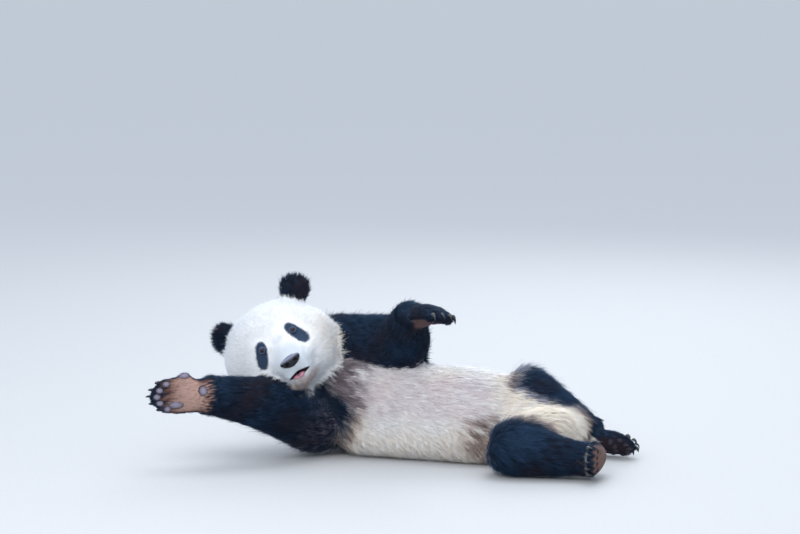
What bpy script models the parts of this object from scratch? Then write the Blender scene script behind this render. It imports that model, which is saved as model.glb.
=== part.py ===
"""A giant panda lounging half on its side and half on its back, life size, as a still museum model.

+X runs from the head to the feet, -Y is the side that the belly and the face turn to, +Z is up.
The animal is built from six masses of flesh: the trunk, the head, two arms and two legs. Each mass
is a blend of rounded hulls round its bones. It is then trimmed where it meets its neighbour, and
parted at the joints with thin cuts into the pieces that a person would name.
"""

import math

import bmesh
import bpy
from mathutils import Matrix, Vector

# Driving dimensions, in metres. They include the coat, out to the tips of the hair.
GAP = 0.0003  # clearance between pieces that meet
HEAD_HALF_WIDTH = 0.163
CHEST_RADIUS = 0.152
EYE_RADIUS = 0.0105
CLAW_LENGTH = 0.010
FOREPAW_LENGTH = 0.178
HINDPAW_LENGTH = 0.150
BIG = 4.0  # side of a cutting block, larger than the animal

# Skeleton: the joint centres of the pose.
NECK_TOP = Vector((-0.280, 0.180, 0.265))
NECK_BASE = Vector((-0.210, 0.195, 0.205))
CHEST = Vector((-0.120, 0.190, 0.144))
WAIST = Vector((0.050, 0.145, 0.118))
BELLY = Vector((0.210, 0.095, 0.112))
PELVIS = Vector((0.360, 0.060, 0.090))
RUMP = Vector((0.440, 0.045, 0.072))
TAIL_ROOT = Vector((0.490, 0.060, 0.050))
TAIL_TIP = Vector((0.540, 0.080, 0.026))
HEAD_CENTRE = Vector((-0.322, 0.100, 0.308))

SHOULDER = {"right": Vector((-0.245, 0.115, 0.096)), "left": Vector((-0.185, 0.205, 0.296))}
ELBOW = {"right": Vector((-0.355, 0.000, 0.166)), "left": Vector((0.008, 0.110, 0.318))}
WRIST = {"right": Vector((-0.515, -0.090, 0.208)), "left": Vector((0.026, -0.010, 0.413))}
HIP = {"right": Vector((0.420, -0.020, 0.088)), "left": Vector((0.405, 0.105, 0.130))}
KNEE = {"right": Vector((0.298, -0.168, 0.078)), "left": Vector((0.356, 0.150, 0.180))}
ANKLE = {"right": Vector((0.508, -0.212, 0.052)), "left": Vector((0.532, 0.122, 0.070))}

# Coats: linear base colour, roughness.
BLACK_COAT = ("black_coat", (0.018, 0.018, 0.021), 0.75)
WHITE_COAT = ("white_coat", (0.78, 0.74, 0.67), 0.80)
WET_BLACK = ("wet_black", (0.010, 0.010, 0.011), 0.30)
HORN = ("claw_horn", (0.060, 0.050, 0.045), 0.35)
EYE = ("eye", (0.020, 0.012, 0.008), 0.08)
TONGUE = ("tongue", (0.60, 0.20, 0.20), 0.45)


# ---------------------------------------------------------------- modelling tools


def axes_from(forward, other):
    """A rotation whose Z column is forward and whose Y column is as near other as it can be."""
    z = Vector(forward).normalized()
    x = Vector(other).cross(z).normalized()
    return Matrix((x, z.cross(x), z)).transposed()


def ball(centre, radii, axes=None, detail=2):
    """The points of an ellipsoid. radii is one number, or three along the columns of axes."""
    radii = (radii,) * 3 if isinstance(radii, (int, float)) else radii
    turn = (axes or Matrix.Identity(3)).to_4x4()
    place = Matrix.Translation(Vector(centre)) @ turn @ Matrix.Diagonal((*radii, 1.0))
    bm = bmesh.new()
    bmesh.ops.create_icosphere(bm, subdivisions=detail, radius=1.0, matrix=place)
    points = [v.co.copy() for v in bm.verts]
    bm.free()
    return points


def hull(*balls):
    """A closed mesh stretched round these balls."""
    bm = bmesh.new()
    for points in balls:
        for point in points:
            bm.verts.new(point)
    made = bmesh.ops.convex_hull(bm, input=bm.verts)
    spare = [g for g in made["geom_unused"] + made["geom_interior"] if isinstance(g, bmesh.types.BMVert)]
    bmesh.ops.delete(bm, geom=list(set(spare)), context="VERTS")
    bmesh.ops.recalc_face_normals(bm, faces=bm.faces)
    mesh = bpy.data.meshes.new("hull")
    bm.to_mesh(mesh)
    bm.free()
    return mesh


def chain(*stations):
    """Hulls between each pair of neighbouring stations, which are (centre, radii[, axes])."""
    balls = [ball(*station) for station in stations]
    return [hull(a, b) for a, b in zip(balls, balls[1:])]


def new_object(name, mesh):
    obj = bpy.data.objects.new(name, mesh)
    bpy.context.scene.collection.objects.link(obj)
    return obj


def joined(name, meshes):
    bm = bmesh.new()
    for mesh in meshes:
        bm.from_mesh(mesh)
        bpy.data.meshes.remove(mesh)
    mesh = bpy.data.meshes.new(name)
    bm.to_mesh(mesh)
    bm.free()
    return new_object(name, mesh)


def applied(obj):
    """Turns obj's modifiers into its mesh."""
    bpy.context.view_layer.update()
    graph = bpy.context.evaluated_depsgraph_get()
    mesh = bpy.data.meshes.new_from_object(obj.evaluated_get(graph))
    old = obj.data
    obj.modifiers.clear()
    obj.data = mesh
    bpy.data.meshes.remove(old)
    return obj


def remove(*objects):
    for obj in objects:
        bpy.data.objects.remove(obj)


def blended(name, meshes, voxel, rounds, triangles, scoops=()):
    """One mass of flesh: the hulls fused by a voxel remesh, scooped, smoothed and thinned out."""
    obj = joined(name, meshes)
    remesh = obj.modifiers.new("fuse", "REMESH")
    remesh.mode = "VOXEL"
    remesh.voxel_size = voxel
    smooth = obj.modifiers.new("soften", "SMOOTH")
    smooth.factor = 0.5
    smooth.iterations = rounds
    applied(obj)
    for scoop in scoops:
        cut(obj, scoop)
    if scoops:
        again = obj.modifiers.new("soften", "SMOOTH")
        again.factor = 0.5
        again.iterations = rounds // 2
        applied(obj)
    obj.data.calc_loop_triangles()
    thin = obj.modifiers.new("thin", "DECIMATE")
    thin.ratio = min(1.0, triangles / len(obj.data.loop_triangles))
    thin.use_collapse_triangulate = True
    settle = obj.modifiers.new("settle", "SMOOTH")
    settle.factor = 0.3
    settle.iterations = 2
    return applied(obj)


def largest_piece(obj):
    """Drops the crumbs that a cut can leave."""
    bm = bmesh.new()
    bm.from_mesh(obj.data)
    left, pieces = set(bm.verts), []
    while left:
        piece, edge = set(), [left.pop()]
        while edge:
            vert = edge.pop()
            piece.add(vert)
            near = {e.other_vert(vert) for e in vert.link_edges} & left
            left -= near
            edge.extend(near)
        pieces.append(piece)
    pieces.sort(key=len)
    crumbs = [v for piece in pieces[:-1] for v in piece]
    bmesh.ops.delete(bm, geom=crumbs, context="VERTS")
    bm.to_mesh(obj.data)
    bm.free()
    return obj


def cut(obj, cutter, operation="DIFFERENCE"):
    boolean = obj.modifiers.new("cut", "BOOLEAN")
    boolean.operation = operation
    boolean.object = cutter
    applied(obj)
    return largest_piece(obj)


def grown(obj, by=GAP):
    """A copy of obj with every face at least this far out, for cutting its neighbour clear of it."""
    bm = bmesh.new()
    bm.from_mesh(obj.data)
    bm.normal_update()
    moves = []
    for vert in bm.verts:
        least = min(vert.normal.dot(face.normal) for face in vert.link_faces)
        moves.append(vert.normal * by / max(least, 0.35))
    for vert, move in zip(bm.verts, moves):
        vert.co += move
    mesh = bpy.data.meshes.new("grown")
    bm.to_mesh(mesh)
    bm.free()
    return new_object("grown", mesh)


def clear_of(obj, *neighbours):
    """Trims obj where it runs into its neighbours."""
    for neighbour in neighbours:
        cutter = grown(neighbour)
        cut(obj, cutter)
        remove(cutter)
    return obj


def block(centre, axes, sides):
    """A box with its sides along the columns of axes."""
    bm = bmesh.new()
    place = Matrix.Translation(Vector(centre)) @ axes.to_4x4() @ Matrix.Diagonal((*sides, 1.0))
    bmesh.ops.create_cube(bm, size=1.0, matrix=place)
    bmesh.ops.recalc_face_normals(bm, faces=bm.faces)
    mesh = bpy.data.meshes.new("block")
    bm.to_mesh(mesh)
    bm.free()
    return new_object("block", mesh)


def beyond(point, normal):
    """A block that fills the side of a plane that its normal points to, and half a gap of the other."""
    normal = Vector(normal).normalized()
    side = Vector((0, 0, 1)) if abs(normal.z) < 0.9 else Vector((1, 0, 0))
    centre = Vector(point) + normal * (BIG / 2 - GAP / 2)
    return block(centre, axes_from(normal, side), (BIG, BIG, BIG))


def parted(obj, names, planes):
    """Splits obj at planes, which are (point, normal) in order from its first named piece to its last."""
    pieces = []
    for i, name in enumerate(names):
        piece = new_object(name, obj.data.copy())
        if i < len(planes):
            point, normal = planes[i]
            keep_out = beyond(point, normal)
            cut(piece, keep_out)
            remove(keep_out)
        if i > 0:
            point, normal = planes[i - 1]
            keep_out = beyond(point, -Vector(normal))
            cut(piece, keep_out)
            remove(keep_out)
        pieces.append(piece)
    remove(obj)
    return pieces


def stand_on_floor(obj):
    """Gives obj a small flat where it would sink into the floor."""
    floor = block((0, 0, -BIG / 2), Matrix.Identity(3), (BIG, BIG, BIG))
    cut(obj, floor)
    remove(floor)
    return obj


def finish(obj, look):
    name, colour, roughness = look
    material = bpy.data.materials.get(name)
    if material is None:
        material = bpy.data.materials.new(name)
        material.use_nodes = True
        shader = material.node_tree.nodes["Principled BSDF"]
        shader.inputs["Base Color"].default_value = (*colour, 1.0)
        shader.inputs["Roughness"].default_value = roughness
        shader.inputs["Metallic"].default_value = 0.0
    obj.data.materials.clear()
    obj.data.materials.append(material)
    obj.data.shade_smooth()
    obj.data.set_sharp_from_angle(angle=math.radians(50))
    return obj


# ---------------------------------------------------------------- trunk and tail

# The back rolls from lying on its side at the shoulders towards lying flat at the hips.
BACK_ROLL = {"chest": math.radians(30), "waist": math.radians(40), "hips": math.radians(60)}


def section_axes(spine, roll):
    """Columns: to the animal's left side, along the belly, along the spine towards the head."""
    belly = Vector((0.0, -math.cos(roll), math.sin(roll)))
    return axes_from(spine, belly)


def make_trunk():
    spine = (CHEST - PELVIS).normalized()
    chest = section_axes(spine, BACK_ROLL["chest"])
    waist = section_axes(spine, BACK_ROLL["waist"])
    hips = section_axes(spine, BACK_ROLL["hips"])
    stations = (
        (NECK_TOP, 0.100),
        (NECK_BASE, 0.128),
        (CHEST, (CHEST_RADIUS, 0.170, 0.12), chest),
        (WAIST, (0.140, 0.160, 0.12), waist),
        (BELLY, (0.172, 0.130, 0.12), hips),
        (PELVIS, (0.158, 0.084, 0.10), hips),
        (RUMP, (0.128, 0.066, 0.085), hips),
    )
    # the loose skin of the side that it lies on, spread on the floor
    flank = (
        (CHEST + Vector((0.0, -0.080, -0.066)), 0.080),
        (WAIST + Vector((0.0, -0.085, -0.050)), 0.074),
        (BELLY + Vector((0.0, -0.090, -0.044)), 0.072),
    )
    meshes = chain(*stations) + chain(*flank)
    return blended("trunk", meshes, voxel=0.008, rounds=10, triangles=900)


def make_tail():
    meshes = chain((TAIL_ROOT, 0.036), (TAIL_TIP, (0.030, 0.022, 0.022)))
    return blended("tail", meshes, voxel=0.005, rounds=4, triangles=140)


# ---------------------------------------------------------------- head

# The face turns to -Y. Its crown leans back towards -X, so the line of the eyes slopes.
FACE_TO = Vector((0.016, -0.988, 0.113)).normalized()
HEAD_LEAN = math.radians(34.5)
CROWN_TO = Vector((-math.sin(HEAD_LEAN), 0.0, math.cos(HEAD_LEAN)))
HEAD_AXES = axes_from(FACE_TO, CROWN_TO)  # columns: animal's left, crown, face
SIDES = {"left": 1, "right": -1}

EYE_AT = (0.049, 0.031, 0.087)
EAR_AT = {"left": (0.1170, 0.1245, -0.046), "right": (0.1250, 0.1160, -0.046)}
EAR_TURN = {"left": math.radians(33), "right": math.radians(55)}  # out from the crown
NOSE_AT = (0.0, -0.038, 0.165)
MOUTH_AT = (0.0, -0.0725, 0.146)


def on_head(place, side=1):
    """A place given as (left, crown, face) from the head's centre; side -1 mirrors it to the right."""
    return HEAD_CENTRE + HEAD_AXES @ Vector((place[0] * side, place[1], place[2]))


def head_ball(place, radii, side=1):
    return ball(on_head(place, side), radii, HEAD_AXES)


def make_head():
    meshes = [
        hull(head_ball((-0.018, 0.014, -0.028), (0.150, 0.136, 0.114))),  # brain case
        hull(head_ball((-0.004, 0.050, 0.012), (0.116, 0.086, 0.084))),  # forehead
        hull(
            head_ball((0, -0.024, 0.060), (0.086, 0.066, 0.050)),
            head_ball((0, -0.047, 0.126), (0.051, 0.040, 0.036)),
        ),  # muzzle
        hull(
            head_ball((0, -0.088, 0.046), (0.064, 0.044, 0.050)),
            head_ball((0, -0.092, 0.112), (0.031, 0.022, 0.027)),
        ),  # lower jaw
        hull(
            head_ball((0, 0.030, 0.066), (0.052, 0.040, 0.030)),
            head_ball((0, -0.013, 0.118), (0.028, 0.024, 0.026)),
        ),  # bridge of the nose
        hull(
            head_ball((-0.112, 0.030, -0.030), (0.070, 0.066, 0.072)),
            head_ball((-0.100, -0.020, -0.010), (0.074, 0.076, 0.074)),
        ),  # cheek ruff pushed up by the arm it rests on
    ]
    for side in SIDES.values():
        meshes += [
            hull(
                head_ball((HEAD_HALF_WIDTH - 0.086, -0.006, -0.006), (0.078, 0.088, 0.080), side),
                head_ball((0.060, -0.070, 0.006), (0.066, 0.062, 0.066), side),
            ),  # jaw muscle and cheek ruff
            hull(head_ball((0.042, 0.046, 0.054), (0.046, 0.034, 0.036), side)),  # brow
        ]
    place = (EYE_AT[0], EYE_AT[1], EYE_AT[2] + 0.014)
    sockets = [new_object("socket", hull(head_ball(place, (0.022, 0.019, 0.022), s))) for s in SIDES.values()]
    head = blended("head", meshes, voxel=0.006, rounds=8, triangles=1000, scoops=sockets)
    remove(*sockets)
    return head


def make_ear(name):
    """A thick round flap, hollowed a little at the front."""
    side, turn = SIDES[name], EAR_TURN[name]
    out = HEAD_AXES @ Vector((math.sin(turn) * side, math.cos(turn), -0.12))
    flat = axes_from(out, FACE_TO)  # columns: across the flap, through it, from its root to its rim
    middle = on_head(EAR_AT[name], side)
    root = middle - flat @ Vector((0.0, 0.004, 0.032))
    mesh = hull(ball(root, (0.046, 0.022, 0.022), flat), ball(middle, (0.054, 0.015, 0.043), flat))
    hollow = middle + flat @ Vector((0.0, 0.024, 0.002))
    bowl = new_object("bowl", hull(ball(hollow, (0.032, 0.018, 0.028), flat)))
    ear = blended(f"ear_{name}", [mesh], voxel=0.004, rounds=4, triangles=140, scoops=[bowl])
    remove(bowl)
    return ear


def make_eye(name, side):
    bm = bmesh.new()
    bmesh.ops.create_uvsphere(bm, u_segments=10, v_segments=6, radius=EYE_RADIUS)
    place = Matrix.Translation(on_head(EYE_AT, side)) @ HEAD_AXES.to_4x4()
    bmesh.ops.transform(bm, matrix=place, verts=bm.verts)
    bmesh.ops.recalc_face_normals(bm, faces=bm.faces)
    mesh = bpy.data.meshes.new(name)
    bm.to_mesh(mesh)
    bm.free()
    return new_object(name, mesh)


def make_nose():
    """The bare nose pad: wide at the top, narrower towards the lip."""
    upper = head_ball((0, NOSE_AT[1] + 0.004, NOSE_AT[2] - 0.010), (0.032, 0.012, 0.016))
    lower = head_ball((0, NOSE_AT[1] - 0.008, NOSE_AT[2] - 0.008), (0.016, 0.009, 0.013))
    return blended("nose", [hull(upper, lower)], voxel=0.0035, rounds=2, triangles=110)


def make_mouth_and_jaw(head):
    """Opens the mouth a little over a tongue, and parts the lower jaw from the head."""
    gape = new_object("gape", hull(head_ball(MOUTH_AT, (0.034, 0.0085, 0.034))))
    cut(head, gape)
    remove(gape)
    jaw_axes = HEAD_AXES @ Matrix.Rotation(math.radians(-10), 3, "X")
    size = Vector((0.150, 0.140, 0.200))
    corner = on_head((0, MOUTH_AT[1], 0.020))
    centre = corner + jaw_axes @ Vector((0, -size.y / 2, size.z / 2))
    inside = block(centre, jaw_axes, size - Vector((GAP, GAP, GAP)))
    outside = block(centre, jaw_axes, size + Vector((GAP, GAP, GAP)))
    jaw = new_object("lower_jaw", head.data.copy())
    cut(jaw, inside, "INTERSECT")
    cut(head, outside)
    remove(inside, outside)
    tongue_at = (0, MOUTH_AT[1] - 0.004, MOUTH_AT[2] - 0.016)
    tongue = new_object("tongue", hull(head_ball(tongue_at, (0.020, 0.0050, 0.026))))
    clear_of(jaw, tongue)
    return jaw, tongue


# ---------------------------------------------------------------- arms

SCAPULA = {"right": Vector((-0.170, 0.190, 0.100)), "left": Vector((-0.120, 0.260, 0.215))}
ARM_FLESH = {"scapula": 0.092, "shoulder": 0.096, "upper": 0.090, "elbow": 0.084, "forearm": 0.072}
WRIST_FLESH = {"right": 0.060, "left": 0.050}
# Each paw: the way its digits point, and the way its palm or sole faces.
FOREPAW_TO = {"right": Vector((-0.985, -0.12, 0.01)), "left": Vector((0.64, -0.75, 0.19))}
PALM_TO = {"right": Vector((-0.10, -0.99, 0.08)), "left": Vector((-0.20, -0.05, -0.97))}


def digit(root, tip, root_radius, tip_radius):
    return hull(ball(root, root_radius, detail=1), ball(tip, tip_radius, detail=1))


def paw_axes(forward, sole, side):
    """Columns: towards the inner digit, out of the sole, along the digits."""
    forward = Vector(forward).normalized()
    sole = (Vector(sole) - forward * Vector(sole).dot(forward)).normalized()
    inner = forward.cross(sole) * (-1 if side == "left" else 1)
    return Matrix((inner, sole, forward)).transposed()


KNUCKLE_SHARE = 0.3  # how far the knuckles stand up on the back of the paw, as a share of the digits' drop
FORE_DROP = 0.022
# Across the paw from the inner digit to the outer one: offset, spread angle, reach.
DIGITS = (
    (0.033, 3, 0.840),
    (0.017, 1, 0.955),
    (0.000, 0, 1.000),
    (-0.017, -1, 0.950),
    (-0.033, -3, 0.820),
)


def digit_line(origin, axes, spec, root_share, length, drop):
    """The root and tip of one digit. drop is how far its tip curls towards the sole."""
    across, spread, reach = spec
    turn = math.radians(spread)
    root = Vector((across, -KNUCKLE_SHARE * drop, length * root_share))
    run = length * reach - root.z
    tip = root + Vector((math.sin(turn) * run, drop, math.cos(turn) * run))
    return origin + axes @ root, origin + axes @ tip


def horn(name, path, thickness, side):
    """A closed tapered tube along path, ending in a point."""
    bm = bmesh.new()
    rings = []
    for i, (place, thick) in enumerate(zip(path[:-1], thickness)):
        run = (path[i + 1] - path[max(i - 1, 0)]).normalized()
        up = run.cross(side).normalized()
        ring = []
        for step in range(5):
            turn = math.tau * step / 5
            offset = side * math.sin(turn) * thick * 0.65 + up * math.cos(turn) * thick
            ring.append(bm.verts.new(place + offset))
        rings.append(ring)
    tip = bm.verts.new(path[-1])
    bm.faces.new(rings[0])
    for near, far in zip(rings, rings[1:]):
        for step in range(5):
            after = (step + 1) % 5
            bm.faces.new((near[step], near[after], far[after], far[step]))
    for step in range(5):
        bm.faces.new((rings[-1][step], rings[-1][(step + 1) % 5], tip))
    bmesh.ops.recalc_face_normals(bm, faces=bm.faces)
    mesh = bpy.data.meshes.new(name)
    bm.to_mesh(mesh)
    bm.free()
    return new_object(name, mesh)


def make_claws(prefix, side, origin, axes, length, drop):
    """Five curved claws that hook towards the sole."""
    claws = []
    for number, spec in enumerate(DIGITS, start=1):
        root, tip = digit_line(origin, axes, spec, 0.55, length, drop)
        out = (tip - root).normalized()
        down = axes @ Vector((0, 1, 0))
        path = []
        for share in (-0.45, 0.25, 0.65, 1.0):
            reach = 0.014 + CLAW_LENGTH * share
            hook = 0.013 * share * abs(share) - 0.006
            path.append(tip + out * reach + down * hook)
        name = f"claw_{prefix}_{side}_{number}"
        claws.append(horn(name, path, (0.0070, 0.0062, 0.0042), axes @ Vector((1, 0, 0))))
    return claws


def forepaw_meshes(side, axes):
    wrist = WRIST[side]
    heel = wrist + axes @ Vector((0, 0.004, 0.022))
    palm = wrist + axes @ Vector((0, -0.002, 0.070))
    meshes = [
        hull(ball(heel, (0.045, 0.034, 0.034), axes), ball(palm, (0.055, 0.033, 0.040), axes)),
        # the false thumb's pad, and the pad of the outer heel
        hull(ball(wrist + axes @ Vector((0.054, 0.012, 0.072)), (0.016, 0.015, 0.024), axes)),
        hull(ball(wrist + axes @ Vector((-0.020, 0.030, 0.006)), (0.013, 0.012, 0.015), axes)),
    ]
    for spec in DIGITS:
        root, tip = digit_line(wrist, axes, spec, 0.55, FOREPAW_LENGTH - 0.018, FORE_DROP)
        meshes.append(digit(root, tip, 0.0235, 0.0190))
    return meshes


def make_arm(side):
    shoulder, elbow, wrist = SHOULDER[side], ELBOW[side], WRIST[side]
    axes = paw_axes(FOREPAW_TO[side], PALM_TO[side], side)
    r = ARM_FLESH
    meshes = chain(
        (SCAPULA[side], r["scapula"]),
        (shoulder, r["shoulder"]),
        (shoulder.lerp(elbow, 0.55), r["upper"]),
        (elbow, r["elbow"]),
        (elbow.lerp(wrist, 0.45), r["forearm"]),
        (wrist, WRIST_FLESH[side]),
    )
    meshes += forepaw_meshes(side, axes)
    arm = blended(f"arm_{side}", meshes, voxel=0.005, rounds=5, triangles=600)
    return arm, axes


# ---------------------------------------------------------------- legs

LEG_FLESH = {"hip": 0.082, "thigh": 0.084, "knee": 0.080, "shank": 0.064, "ankle": 0.048}
HINDPAW_TO = {"right": Vector((-0.22, -0.97, 0.07)), "left": Vector((0.91, -0.38, -0.05))}
SOLE_TO = {"right": Vector((0.97, -0.22, 0.0)), "left": Vector((0.05, -0.76, -0.65))}
HEEL = {"right": Vector((0.533, -0.166, 0.056)), "left": Vector((0.530, 0.104, 0.048))}


def hindpaw_meshes(side, axes):
    heel = HEEL[side]
    sole = heel + axes @ Vector((0, 0.002, 0.070))
    meshes = [hull(ball(heel, (0.038, 0.034, 0.040), axes), ball(sole, (0.050, 0.029, 0.036), axes))]
    for spec in DIGITS:
        root, tip = digit_line(heel, axes, spec, 0.55, HINDPAW_LENGTH - 0.016, 0.008)
        meshes.append(digit(root, tip, 0.0190, 0.0155))
    return meshes


def make_leg(side):
    hip, knee, ankle = HIP[side], KNEE[side], ANKLE[side]
    axes = paw_axes(HINDPAW_TO[side], SOLE_TO[side], side)
    r = LEG_FLESH
    meshes = chain(
        (hip, r["hip"]),
        (hip.lerp(knee, 0.5), r["thigh"]),
        (knee, r["knee"]),
        (knee.lerp(ankle, 0.5), r["shank"]),
        (ankle, r["ankle"]),
    )
    meshes += [hull(ball(ankle, r["ankle"] * 0.95), ball(HEEL[side], 0.034))]
    meshes += hindpaw_meshes(side, axes)
    leg = blended(f"leg_{side}", meshes, voxel=0.005, rounds=5, triangles=600)
    return leg, axes


# ---------------------------------------------------------------- assembly


def part_trunk(trunk):
    spine = (PELVIS - CHEST).normalized()
    return parted(
        trunk,
        ("neck", "chest", "belly", "rump"),
        (
            (NECK_BASE.lerp(NECK_TOP, 0.15), NECK_BASE - NECK_TOP),
            (CHEST.lerp(WAIST, 0.20), spine),
            (BELLY.lerp(PELVIS, 0.55), spine),
        ),
    )


def part_limb(limb, side, joints, names):
    """Cuts at the middle joint, square to the bend, and across the end of the shaft."""
    upper, middle, end = (joint[side] for joint in joints)
    bend = ((middle - upper).normalized() + (end - middle).normalized()).normalized()
    return parted(
        limb,
        [f"{name}_{side}" for name in names],
        ((middle, bend), (end, (end - middle).normalized())),
    )


def origin_to_floor_centre(objects):
    """Moves every mesh so that the model stands on the origin, at the middle of its outline."""
    corners = [obj.matrix_world @ v.co for obj in objects for v in obj.data.vertices]
    low = Vector(map(min, zip(*corners)))
    high = Vector(map(max, zip(*corners)))
    shift = Matrix.Translation((-(low.x + high.x) / 2, -(low.y + high.y) / 2, -low.z))
    for obj in objects:
        obj.data.transform(shift)


def main():
    for obj in list(bpy.data.objects):
        bpy.data.objects.remove(obj)

    trunk = stand_on_floor(make_trunk())
    head = clear_of(make_head(), trunk)
    tail = clear_of(stand_on_floor(make_tail()), trunk)
    ears = [clear_of(make_ear(name), head) for name in SIDES]
    eyes = [make_eye(f"eye_{name}", side) for name, side in SIDES.items()]
    nose = make_nose()

    arms, legs, claws = {}, {}, []
    for side in ("right", "left"):
        arm, axes = make_arm(side)
        arms[side] = clear_of(stand_on_floor(arm), trunk, head)
        claws += make_claws("fore", side, WRIST[side], axes, FOREPAW_LENGTH - 0.016, FORE_DROP)
        leg, axes = make_leg(side)
        legs[side] = clear_of(stand_on_floor(leg), trunk, tail)
        claws += make_claws("hind", side, HEEL[side], axes, HINDPAW_LENGTH - 0.016, 0.008)
    clear_of(legs["left"], legs["right"])

    clear_of(head, nose, *eyes)
    jaw, tongue = make_mouth_and_jaw(head)
    for claw in claws:
        limbs = arms if "fore" in claw.name else legs
        clear_of(claw, limbs["left" if "left" in claw.name else "right"])

    neck, chest, belly, rump = part_trunk(trunk)
    white = [head, jaw, tail, neck, belly, rump]
    black = [chest, *ears]
    for side in ("right", "left"):
        joints = (SHOULDER, ELBOW, WRIST)
        black += part_limb(arms[side], side, joints, ("upper_arm", "forearm", "forepaw"))
        joints = (HIP, KNEE, ANKLE)
        black += part_limb(legs[side], side, joints, ("thigh", "shank", "hindpaw"))

    looks = ((white, WHITE_COAT), (black, BLACK_COAT), ([nose], WET_BLACK), (claws, HORN), (eyes, EYE))
    everything = [tongue]
    finish(tongue, TONGUE)
    for objects, look in looks:
        for obj in objects:
            finish(obj, look)
            everything.append(obj)
    origin_to_floor_centre(everything)


main()
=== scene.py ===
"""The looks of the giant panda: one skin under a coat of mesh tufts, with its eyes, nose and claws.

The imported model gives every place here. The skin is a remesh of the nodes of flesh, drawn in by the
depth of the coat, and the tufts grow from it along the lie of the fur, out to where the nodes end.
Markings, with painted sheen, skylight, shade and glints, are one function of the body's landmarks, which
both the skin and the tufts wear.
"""

import math

import bmesh
import bpy
import numpy as np
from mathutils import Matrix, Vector
from mathutils.bvhtree import BVHTree


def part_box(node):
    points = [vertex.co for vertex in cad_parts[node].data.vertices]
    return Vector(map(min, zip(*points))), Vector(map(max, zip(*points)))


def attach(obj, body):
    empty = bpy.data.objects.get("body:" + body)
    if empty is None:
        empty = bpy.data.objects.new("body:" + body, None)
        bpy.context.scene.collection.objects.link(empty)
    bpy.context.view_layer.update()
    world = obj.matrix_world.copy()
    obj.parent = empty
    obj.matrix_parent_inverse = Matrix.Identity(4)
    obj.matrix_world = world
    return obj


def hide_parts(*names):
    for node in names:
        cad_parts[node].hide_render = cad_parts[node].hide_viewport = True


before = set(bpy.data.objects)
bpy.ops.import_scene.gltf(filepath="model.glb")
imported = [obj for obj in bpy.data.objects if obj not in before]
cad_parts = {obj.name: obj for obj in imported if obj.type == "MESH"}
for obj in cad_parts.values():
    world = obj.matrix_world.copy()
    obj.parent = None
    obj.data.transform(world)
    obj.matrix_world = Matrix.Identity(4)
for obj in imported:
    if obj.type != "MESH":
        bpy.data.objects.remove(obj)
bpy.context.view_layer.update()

# Sizes in metres.
VOXEL = 0.0056  # the skin's grain
SEAM_OVERLAP = 0.0007  # closes the thin cuts between the nodes
ROOT_DEPTH = 0.001  # how far a tuft is set into the skin
FLOOR_CLEARANCE = 0.0004  # under the lowest tufts and claws
SKIN_CLEARANCE = 0.001  # under the skin
TUFTS = 260000  # in the whole coat
MOST_TUFTS = 33000  # in one piece of it
PATCH = 0.003  # a tuft's patch on its map

SIDES = {"left": 1, "right": -1}
LIMBS = {"arm": ("upper_arm", "forearm", "forepaw"), "leg": ("thigh", "shank", "hindpaw")}
FLESH = ("head", "lower_jaw", "neck", "chest", "belly", "rump", "tail") + tuple(
    f"{part}_{side}" for part in ("ear", *LIMBS["arm"], *LIMBS["leg"]) for side in SIDES
)


# -------- arrays


def unit(vectors):
    length = np.linalg.norm(vectors, axis=-1, keepdims=True)
    return vectors / np.maximum(length, 1e-9)


def distance(points, place):
    return np.linalg.norm(points - place, axis=1)


def held(x):
    """x kept between 0 and 1."""
    return np.clip(x, 0, 1)


def ramp(low, high, x):
    """0 below low, 1 above high, and smooth between. low may be the larger."""
    t = held((x - low) / (high - low))
    return t * t * (3.0 - 2.0 * t)


def mix(a, b, share):
    """a where share is 0 and b where it is 1."""
    return a + (b - a) * share


def tinted(colour, other, share):
    """Colours turned towards another by each point's share."""
    return mix(colour, other, share[:, None])


def waves(points, size, seed, count=10):
    """A smooth random field of bumps about size across, mostly from -1 to 1."""
    draw = np.random.default_rng(seed)
    pace = math.tau / size * draw.uniform(0.6, 1.5, (count, 1))
    turn = unit(draw.normal(size=(count, 3))) * pace
    phase = draw.uniform(0, math.tau, count)
    return np.sin(points @ turn.T + phase).sum(axis=1) * math.sqrt(1.0 / count)


def from_segment(points, start, end):
    """The way to points from the nearest place on a segment, and their share along it, unclamped."""
    run = end - start
    along = (points - start) @ run / (run @ run)
    near = start + held(along)[:, None] * run
    return points - near, along


def tangent(vectors, normals):
    """The part of each vector that lies in the surface, as a unit vector."""
    flat = vectors - normals * (vectors * normals).sum(axis=1, keepdims=True)
    return unit(flat)


# -------- landmarks


def read(items, name, width, kind=float):
    """One property of all items of a mesh, as rows of this width."""
    values = np.empty(len(items) * width, kind)
    items.foreach_get(name, values)
    return values.reshape(-1, width)


def points_of(node):
    return read(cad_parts[node].data.vertices, "co", 3)


def centre_of(node):
    low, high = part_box(node)
    return np.array((low + high) / 2)


def meeting(node, neighbour, reach=0.004):
    """The middle of the cut that parts two nodes."""
    here, there = points_of(node), points_of(neighbour)
    gap = np.linalg.norm(here[:, None] - there[None], axis=2).min(axis=1)
    return here[gap < reach].mean(axis=0)


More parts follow.
